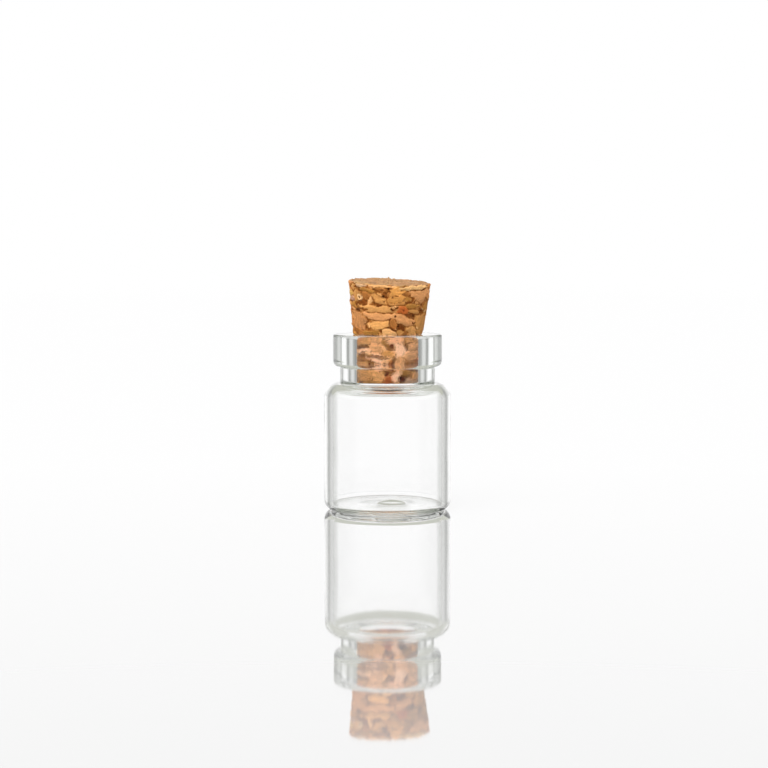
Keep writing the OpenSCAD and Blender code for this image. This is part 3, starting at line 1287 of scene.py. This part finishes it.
    def work(self, cork: bpy.types.Object) -> None:
        """Works the granules into the blank: their colours with painted highlights and shade, gaps, pores and
        worn edges.

        Args:
            cork: The turned blank.
        """
        mesh = cork.data
        points, outward = coordinates(mesh), normals(mesh)
        mouth = self.bottle.mouth_z
        in_neck = 1 - smoothstep(mouth, mouth + 0.25, points[:, 2])
        grain = self.bed.read(points)
        gap = self.gaps(points, grain)
        hole, rim = self.pores(points)
        colours = self.colours(points, outward, grain, gap, in_neck)
        # Pores and pits are coloured dark: partly their own dark, partly painted shade in the hollows
        pit_dark_and_shade = blend(np.tile(Tone.UMBER.light, (len(points), 1)), Tone.RUST.light, in_neck)
        colours = blend(colours, pit_dark_and_shade, 0.92 * hole)
        colours = blend(colours, Tone.CREAM.light, rim)
        relief = self.relief(points, grain, gap) - 0.14 * hole + 0.04 * rim
        relief = blend(relief, np.minimum(0.35 * relief - 0.01, 0.0), in_neck)
        set_coordinates(mesh, self.lean(self.wear(points + outward * relief[:, None])))
        layer = mesh.color_attributes.new(CorkFinish().attribute, "FLOAT_COLOR", "POINT")
        rgba = np.ones((len(points), 4), dtype=np.float32)
        rgba[:, :3] = np.clip(colours, 0.004, 1.0)
        layer.data.foreach_set("color", rgba.ravel())
        log.info("gaps take %.0f%% of the cork's points", 100 * float((gap > 0.5).mean()))

    def gaps(self, points: np.ndarray, grain: Grain) -> np.ndarray:
        """Opens gaps between the granules, widest below each of them, so that their dark colour works as a
        painted shadow under each granule.

        Args:
            points: Points of the blank.
            grain: Where they lie among the granules.

        Returns:
            How deep in a gap each point is, from 0 to 1.
        """
        ragged = lattice_noise(points * np.array([1.0, 1.0, 1.6]), 0.7, 3)
        ragged += 0.7 * lattice_noise(points, 0.26, 4)
        above = points[:, 2] > self.bottle.mouth_z
        # The gaps widen below each granule and narrow above it: painted shadow that stands for light from
        # above
        width = self.bed.gap * np.clip(0.55 + 1.4 * ragged - 1.35 * grain.upward, 0.02, 3.6)
        width = width * np.where(above, 1.0, 0.4)
        open_share = np.where(above, smoothstep(0.0, 0.35 * self.bed.gap, width),
                              smoothstep(0.15 * self.bed.gap, 0.7 * self.bed.gap, width))
        return (1 - smoothstep(0.1, 1.0, grain.clear / width)) * open_share

    def pores(self, points: np.ndarray) -> tuple[np.ndarray, np.ndarray]:
        """Finds the pores.

        Args:
            points: Points of the blank.

        Returns:
            How far each point is in a hole, and on a pale rim, from 0 to 1.
        """
        hole, rim = np.zeros(len(points)), np.zeros(len(points))
        strayed = points + 0.03 * lattice_noise(points, 0.15, 41)[:, None]
        for pore in PORES:
            angle, height, radius = self.seen_at(pore.x, pore.y)
            centre = np.array([radius * math.sin(angle), -radius * math.cos(angle), height])
            away = np.linalg.norm(strayed - centre, axis=1) / pore.radius
            hole = np.maximum(hole, 1 - smoothstep(0.75, 1.35, away))
            rim = np.maximum(rim, pore.rim * smoothstep(1.0, 1.6, away) * (1 - smoothstep(2.3, 3.1, away)))
        pits = lattice_noise(points, 0.4, 42) + 0.4 * lattice_noise(points, 0.17, 43)
        return np.maximum(hole, 0.7 * smoothstep(0.8, 0.95, pits)), rim

    def colours(self, points: np.ndarray, outward: np.ndarray, grain: Grain, gap: np.ndarray,
                in_neck: np.ndarray) -> np.ndarray:
        """Colours the blank's points, with painted highlights and shade laid over the granules' own colours.

        Args:
            points: Points of the blank.
            outward: The directions that they face.
            grain: Where they lie among the granules.
            gap: How deep in a gap each point is.
            in_neck: The share of each point that the glass squeezes.

        Returns:
            Their linear colours.
        """
        own, other = (self.bed.column("colour")[which] for which in (grain.owner, grain.beyond))
        soft = (0.5 - 0.5 * smoothstep(0.0, self.soft_edge, grain.clear)) * (0.35 + 0.65 * in_neck)
        base = blend(own, other, soft)
        streak = lattice_noise(grain.local * np.array([0.7, 4.2, 1.5]) + grain.owner[:, None] * 3.7, 0.6, 5)
        mottle = lattice_noise(points, 0.17, 6)
        patch = lattice_noise(points, 0.9, 7)
        # Painted highlight: a pale band along each granule's upper edge
        edge = smoothstep(0.05, 0.3, gap) * (1 - smoothstep(0.3, 0.6, gap))
        edge *= np.clip(0.4 + grain.upward, 0, 1)
        grain_and_painted_light = (1.0 + self.streaked * streak + self.mottled * mottle + self.patched * patch
               + self.painted_rim_highlight * edge
               + (self.painted_upper_light - self.painted_upper_light_lost * in_neck) * grain.upward)
        granule = base * grain_and_painted_light[:, None]
        # Painted shade: the gaps darken towards DARK where they are deepest, and the neck's gaps are darkened
        # further
        deep = smoothstep(0.45, 1.0, gap) * smoothstep(-0.35, 0.45, lattice_noise(points, 0.5, 9))
        between = blend(Tone.GAP_AND_SHADE.light * (1 + 0.25 * mottle)[:, None], Tone.DARK.light, deep)
        shreds = lattice_noise(points * np.array([1.0, 1.0, 2.4]), 0.42, 8) + 0.4 * mottle
        between = blend(between, Tone.SAND.light, 0.7 * smoothstep(0.25, 0.6, shreds))
        between = between * (1 - np.array(self.gap_shade_in_neck) * in_neck[:, None])
        coloured = blend(granule, between, smoothstep(0.1, 0.85, gap) * (1 - 0.35 * in_neck))
        # Painted light and shade in the neck: the plug's colours are stretched away from a grey
        bright = coloured @ np.array(self.brightness) / self.neck_grey
        neck_light_and_shade = coloured * (bright ** ((self.neck_shade_contrast - 1) * in_neck))[:, None]
        # The top face is mixed towards mauve-grey: partly the cut face's own colour and partly a painted
        # grazing sheen
        top = smoothstep(0.75, 0.95, outward[:, 2])
        capped = blend(neck_light_and_shade, Tone.MAUVE.light * (0.86 + 0.2 * mottle)[:, None], 0.75 * top)
        tinted = capped * blend(np.tile(self.tint, (len(points), 1)), np.array(self.neck_light_tint), in_neck)
        return tinted / np.maximum(1.0, tinted.max(axis=1))[:, None]

    def relief(self, points: np.ndarray, grain: Grain, gap: np.ndarray) -> np.ndarray:
        """Raises the granules and sinks the gaps.

        Args:
            points: Points of the blank.
            grain: Where they lie among the granules.
            gap: How deep in a gap each point is.

        Returns:
            How far each point moves outwards, in millimetres.
        """
        bed = self.bed
        rough = 0.014 * lattice_noise(points, 0.15, 13) + 0.022 * lattice_noise(points, 0.4, 14)
        random = np.random.default_rng(bed.seed + 1)
        slants = random.normal(0.0, (0.035, 0.06, 0.0), (len(bed.granules), 3))[grain.owner]
        tilt = (slants * np.clip(grain.local, -1.2, 1.2)).sum(axis=1)
        crown = smoothstep(0.0, 0.15, grain.clear)
        burr = self.burr_h * (1 - smoothstep(0.03, 0.13, np.linalg.norm(points - self.burr, axis=1)))
        return (self.steadied * bed.column("lift")[grain.owner] + tilt + rough + burr
                - bed.gap_depth * gap - bed.dome * (1 - crown) * (0.25 + 0.75 * gap))

    def wear(self, points: np.ndarray) -> np.ndarray:
        """Crumbles the head's upper edge."""
        crown = self.bottle.mouth_z + self.head_h
        radius = np.hypot(points[:, 0], points[:, 1])
        near_top = smoothstep(0.35, 0.0, np.abs(crown - points[:, 2]))
        edge = near_top * smoothstep(0.5, 0.0, np.abs(self.top_r - radius))
        chip = np.clip(lattice_noise(points, 0.5, 31) - 0.15, 0, 1) * 0.3
        worn = points.copy()
        worn[:, 2] -= edge * chip
        worn[:, :2] *= (1 - edge * chip * 0.5 / self.top_r)[:, None]
        return worn

    def build(self, finish: bpy.types.Material) -> bpy.types.Object:
        """Turns the blank, works it and gives it its place in the frame.

        Args:
            finish: The cork's material.

        Returns:
            The cork.
        """
        cork = self.lathe.turn("cork", self.outline(), finish, self.segments)
        self.place_seen()
        self.bed.fill(self.bottle.mouth_z + self.head_h + 0.3, self.plug_z - 0.3, self.top_r + 0.2)
        self.work(cork)
        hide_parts("cork_stopper")
        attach(cork, "stopper")
        return cork


@dataclass
class Crumbs:
    """Crumbs that cling to the cork's head, scattered over it by a Geometry Nodes tree."""

    cork: bpy.types.Object
    above: float
    density: float = 3.2
    seed: int = 5
    least: tuple[float, float, float] = (0.025, 0.02, 0.015)
    most: tuple[float, float, float] = (0.09, 0.05, 0.04)
    dullest: float = 0.55
    brightest: float = 1.7
    INPUTS: ClassVar[dict[str, str]] = {
        "Density": "NodeSocketFloat", "Seed": "NodeSocketInt", "Above": "NodeSocketFloat",
        "Least": "NodeSocketVector", "Most": "NodeSocketVector", "Finish": "NodeSocketMaterial"}

    def tree(self) -> bpy.types.NodeTree:
        """Builds the tree: points on the head, a small rough lump on each, in its own shade."""
        tree = new_tree("crumbs", "Cork", self.INPUTS, "Crumbs")
        graph = Graph(tree)
        given = graph.add("NodeGroupInput")
        seed = graph.out(given, "Seed")
        spot = graph.out(graph.add("GeometryNodeInputPosition"))
        place = graph.add("ShaderNodeSeparateXYZ", None, {0: spot})
        free = graph.out(place, "Z").maths("GREATER_THAN", graph.out(given, "Above"))
        spots = graph.add("GeometryNodeDistributePointsOnFaces", {"distribute_method": "RANDOM"},
                          {"Mesh": graph.out(given, "Cork"), "Selection": free,
                           "Density": graph.out(given, "Density"), "Seed": seed})
        own = graph.out(graph.add("GeometryNodeInputNamedAttribute", {"data_type": "FLOAT_COLOR"},
                                  {"Name": CorkFinish.attribute}))
        shade = graph.add("FunctionNodeRandomValue", {"data_type": "FLOAT"},
                          {"Min_001": self.dullest, "Max_001": self.brightest, "Seed": seed + 1})
        toned = graph.mix(1.0, own, graph.out(shade, "Value_001"), "MULTIPLY")
        stored = graph.add("GeometryNodeStoreNamedAttribute", {"data_type": "FLOAT_COLOR", "domain": "POINT"},
                           {"Geometry": graph.out(spots, "Points"), "Name": CorkFinish.attribute,
                            "Value": toned})
        lump = graph.add("GeometryNodeMeshIcoSphere", None, {"Radius": 1.0, "Subdivisions": 1})
        spin = graph.add("FunctionNodeRandomValue", {"data_type": "FLOAT_VECTOR"},
                         {"Max": (math.tau, math.tau, math.tau), "Seed": seed + 2})
        size = graph.add("FunctionNodeRandomValue", {"data_type": "FLOAT_VECTOR"},
                         {"Min": graph.out(given, "Least"), "Max": graph.out(given, "Most"),
                          "Seed": seed + 3})
        lumps = graph.add("GeometryNodeInstanceOnPoints", None,
                          {"Points": graph.out(stored), "Instance": graph.out(lump),
                           "Rotation": graph.out(spin, "Value"), "Scale": graph.out(size, "Value")})
        real = graph.add("GeometryNodeRealizeInstances", None, {"Geometry": graph.out(lumps)})
        done = graph.add("GeometryNodeSetMaterial", None,
                         {"Geometry": graph.out(real), "Material": graph.out(given, "Finish")})
        graph.add("NodeGroupOutput", None, {"Crumbs": graph.out(done)})
        return tree

    def build(self, finish: bpy.types.Material) -> bpy.types.Object:
        """Scatters the crumbs and lets them ride on the stopper.

        Args:
            finish: The cork's material.

        Returns:
            The crumbs, as one plain mesh.
        """
        crumbs = bpy.data.objects.new("cork_crumbs", self.cork.data.copy())
        grow(crumbs, self.tree(), {
            "Density": self.density / MM ** 2, "Seed": self.seed, "Above": self.above * MM,
            "Least": [value * MM for value in self.least], "Most": [value * MM for value in self.most],
            "Finish": finish})
        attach(crumbs, "stopper")
        return crumbs


# Brightness of the tent's walls at angles from straight behind the bottle, in degrees to either side
FLAGS = (
    (0, 1.09), (14, 1.09),
    (22, 0.72), (29, 0.32), (34, 0.34), (40, 0.6),
    (46, 0.72), (54, 0.72),
    (60, 0.42), (80, 0.22), (100, 0.3),
    (112, 0.9), (180, 0.9),
)


@dataclass(frozen=True)
class Studio:
    """A white light tent with grey flags between its walls, and a polished pale floor."""

    # The floor, and how much it mirrors between two viewing angles
    floor_r: float = 1000.0
    fade_from: float = 550.0
    floor_shade: float = 0.66
    floor_gap: float = 0.02
    floor_sides: int = 96
    floor_roughness: float = 0.03
    mirror_from: float = 0.643
    mirror_to: float = 0.88
    least_mirror: float = 0.25
    most_mirror: float = 0.97
    # A painted pool of light on the floor under the bottle, brighter than the rest of it
    foot_light_pool: tuple[float, float, float, float] = (0.94, 0.945, 0.89, 1.0)
    foot_light_pool_from: float = 4.7
    foot_light_pool_to: float = 6.6
    # The tent's light, which is even but for one brighter part
    ambient: float = 0.6
    lamp_strength: float = 4.1
    lamp_turn: float = -25.0
    lamp_rise: float = 48.0
    lamp_core: float = 12.0
    lamp_edge: float = 38.0
    # The grey flags round the bottle, and the roof above them
    flag_top: float = 12.0
    flag_fade: float = 2.0
    roof: tuple[float, float, float, float] = (0.54, 0.55, 0.48, 1.0)
    roof_top: float = 44.0
    roof_fade: float = 4.0
    # The dark front, behind the camera
    front_from: float = 95.0
    front_to: float = 120.0
    front_shade: float = 0.1
    # The glass walls after which the front no longer shows, and what glass and floor add
    walls_passed: float = 2.5
    gathering: float = 1.95
    roof_in_floor: float = 0.55

    def world(self) -> None:
        """Makes the tent, which shines evenly and shows its grey flags only in gloss and glass."""
        world = bpy.data.worlds.new("light_tent")
        bpy.context.scene.world = world
        world.use_nodes = True
        graph = Graph(world.node_tree)
        way = graph.out(graph.add("ShaderNodeTexCoord"), "Generated")
        parts = graph.add("ShaderNodeSeparateXYZ", None, {0: way})
        east, north, up = (graph.out(parts, axis) for axis in "XYZ")
        turn = east.maths("ARCTAN2", north).maths("ABSOLUTE") / math.pi
        path = graph.add("ShaderNodeLightPath")
        kinds = ("Singular", "Glossy", "Camera")
        sharp, gloss, camera = (graph.out(path, f"Is {kind} Ray") for kind in kinds)
        low = up.maths("ABSOLUTE").ramp(sine(self.flag_top + self.flag_fade), sine(self.flag_top))
        high = up.maths("ABSOLUTE").ramp(sine(self.roof_top), sine(self.roof_top + self.roof_fade))
        mirrored = (1.0 - sharp) * self.roof_in_floor
        roof = graph.mix(high.maths("MAXIMUM", mirrored), self.roof, WHITE)
        through = graph.out(path, "Transmission Depth")
        front = turn.ramp(self.front_from / 180, self.front_to / 180, 0.0, 1.0 - self.front_shade)
        outside = front * through.maths("LESS_THAN", self.walls_passed)
        bare = 1.0 - outside
        again = graph.out(path, "Glossy Depth").maths("GREATER_THAN", 1.5)
        flags = graph.mix(1.0, graph.mix(low, roof, self.flags(graph, turn)), graph.grey(bare), "MULTIPLY")
        glassy = sharp.maths("MAXIMUM", through).maths("MINIMUM", 1.0)
        seen = glassy * graph.out(path, "Diffuse Depth").maths("LESS_THAN", 0.5)
        lamp = graph.vector("DOT_PRODUCT", way, self.lamp_way(), result="Value")
        edges = (math.cos(math.radians(angle)) for angle in (self.lamp_edge, self.lamp_core))
        glow = lamp.ramp(*edges) * self.lamp_strength
        gathered = 1.0 + through.maths("MINIMUM", 1.0) * (self.gathering - 1.0)
        open_tent = graph.mix(1.0, even(self.ambient), graph.grey(glow), "ADD")
        tent = graph.mix(1.0, open_tent, graph.grey(gathered), "MULTIPLY")
        plain = graph.mix(camera.maths("MAXIMUM", gloss), tent, graph.grey(1.0 - outside * again))
        shade = graph.mix(seen, plain, flags)
        back = graph.add("ShaderNodeBackground", None, {"Color": shade, "Strength": 1.0})
        graph.add("ShaderNodeOutputWorld", None, {"Surface": graph.out(back)})

    def flags(self, graph: Graph, turn: Term) -> Term:
        """Hangs grey flags round the tent, the same at the left and the right.

        Args:
            graph: The world's graph.
            turn: The direction round the tent, from 0 straight behind the bottle to 1 behind the camera.

        Returns:
            The brightness, as a colour with a faint green in its greys.
        """
        ramp = [(angle / 180, (shade * (0.975 + 0.025 * shade), shade, shade * (0.94 + 0.06 * shade), 1.0))
                for angle, shade in FLAGS]
        return graph.out(graph.add("ShaderNodeValToRGB", {"stops": ramp}, {0: turn}))

    def lamp_way(self) -> Vector:
        """The direction of the tent's brightest part."""
        turn, rise = math.radians(self.lamp_turn), math.radians(self.lamp_rise)
        return Vector((math.sin(turn) * math.cos(rise), -math.cos(turn) * math.cos(rise), math.sin(rise)))

    def floor(self) -> bpy.types.Object:
        """Lays the floor, which mirrors more at low angles, has a painted pool of light under the bottle and
        fades out far away.
        """
        mesh = bpy.data.meshes.new("floor")
        turns = [math.tau * i / self.floor_sides for i in range(self.floor_sides)]
        ring = [(self.floor_r * MM * math.cos(t), self.floor_r * MM * math.sin(t), -self.floor_gap * MM)
                for t in turns]
        mesh.from_pydata(ring, [], [tuple(range(self.floor_sides))])
        material, graph = new_material("polished_floor")
        facing = graph.out(graph.add("ShaderNodeLayerWeight", None, {"Blend": 0.5}), "Facing")
        line = graph.add("ShaderNodeMapRange", {"clamp": True},
                         {"Value": facing, "From Min": self.mirror_from, "From Max": self.mirror_to,
                          "To Min": self.least_mirror, "To Max": self.most_mirror})
        reach = graph.vector("LENGTH", graph.out(graph.add("ShaderNodeTexCoord"), "Object"), result="Value")
        under = reach.ramp(self.foot_light_pool_to * MM, self.foot_light_pool_from * MM)
        matt = graph.add("ShaderNodeBsdfDiffuse", None,
                         {"Color": graph.mix(under, even(self.floor_shade), self.foot_light_pool)})
        gloss = graph.add("ShaderNodeBsdfGlossy", None, {"Color": WHITE, "Roughness": self.floor_roughness})
        polished = graph.add("ShaderNodeMixShader", None,
                             {0: graph.out(line).maths("MAXIMUM", under), 1: graph.out(matt),
                              2: graph.out(gloss)})
        clear = graph.add("ShaderNodeBsdfTransparent")
        faded = graph.add("ShaderNodeMixShader", None,
                          {0: reach.ramp(self.fade_from * MM, self.floor_r * MM), 1: graph.out(polished),
                           2: graph.out(clear)})
        graph.add("ShaderNodeOutputMaterial", None, {"Surface": graph.out(faded)})
        mesh.materials.append(material)
        floor = bpy.data.objects.new("floor", mesh)
        bpy.context.scene.collection.objects.link(floor)
        return floor

    def set_up(self) -> None:
        """Builds the studio and sets how its light is shown."""
        self.world()
        self.floor()
        scene = bpy.context.scene
        scene.view_settings.view_transform = "Standard"
        scene.cycles.max_bounces = 24
        scene.cycles.transmission_bounces = 20
        scene.cycles.glossy_bounces = 20
        scene.cycles.use_denoising = True


def report(piece: bpy.types.Object) -> None:
    """Logs a piece's triangles and volume."""
    size = volume(piece.data)
    log.info("%s: %d triangles, %.1f cubic mm", piece.name, len(piece.data.loop_triangles), size)


def main() -> None:
    """Builds the pieces in order, and then the studio."""
    logging.basicConfig(level=logging.INFO, format="%(name)s: %(message)s")
    view = Viewpoint()
    view.place()
    lathe = Lathe()
    bottle = GlassBottle(lathe)
    report(bottle.build(GlassFinish().material()))
    pressed = CorkFinish().material()
    cork = CorkStopper(lathe, bottle, view).build(pressed)
    report(cork)
    report(Crumbs(cork, bottle.mouth_z + 0.2).build(pressed))
    Studio().set_up()


if __name__ == "__main__":
    main()
